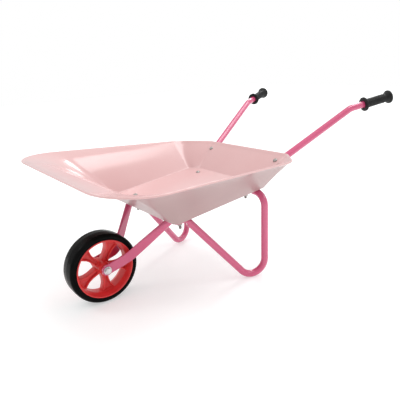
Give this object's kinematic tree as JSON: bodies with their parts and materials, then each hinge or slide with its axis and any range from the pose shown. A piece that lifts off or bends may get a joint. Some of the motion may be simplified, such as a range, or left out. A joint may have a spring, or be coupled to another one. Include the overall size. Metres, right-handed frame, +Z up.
{
  "type": "wheelbarrow",
  "caption": "Child's wheelbarrow: pressed steel tray on bent tube handles that end in a flattened fork, bent tube legs and one plastic wheel with a solid tyre.",
  "frame": {"origin": "on the ground, under the middle of the barrow's bounding box", "axes": "+Z up, +Y from the wheel towards the handles, +X to the left of a person who holds the handles and looks at the wheel"},
  "size_m": [0.5054, 0.7814, 0.3883],
  "materials": {
    "tray_paint": "glossy",
    "frame_paint": "glossy",
    "tyre_rubber": "semi-gloss",
    "wheel_plastic": "semi-gloss",
    "grip_rubber": "matte",
    "zinc_steel": "zinc plated"
  },
  "bodies": {
    "frame": {"tray": "tray_paint", "frame_tube_left": "frame_paint", "frame_tube_right": "frame_paint", "leg_left": "frame_paint", "leg_right": "frame_paint", "grip_left": "grip_rubber", "grip_right": "grip_rubber", "axle_bolt": "zinc_steel", "axle_nut": "zinc_steel", "axle_spacer_left": "zinc_steel", "axle_spacer_right": "zinc_steel", "axle_washer_left": "zinc_steel", "axle_washer_right": "zinc_steel", "front_floor_bolt_left": "zinc_steel", "front_floor_bolt_right": "zinc_steel", "front_floor_nut_left": "zinc_steel", "front_floor_nut_right": "zinc_steel", "rear_floor_bolt_left": "zinc_steel", "rear_floor_bolt_right": "zinc_steel", "rear_floor_nut_left": "zinc_steel", "rear_floor_nut_right": "zinc_steel", "rear_wall_bolt_left": "zinc_steel", "rear_wall_bolt_right": "zinc_steel", "rear_wall_nut_left": "zinc_steel", "rear_wall_nut_right": "zinc_steel"},
    "wheel": {"tyre": "tyre_rubber", "wheel_rim": "wheel_plastic"}
  },
  "joints": [
    {"name": "wheel_spin", "type": "hinge", "parent": "frame", "child": "wheel", "pos_m": [0, -0.3107, 0.075], "axis": [1, 0, 0], "continuous": true}
  ]
}
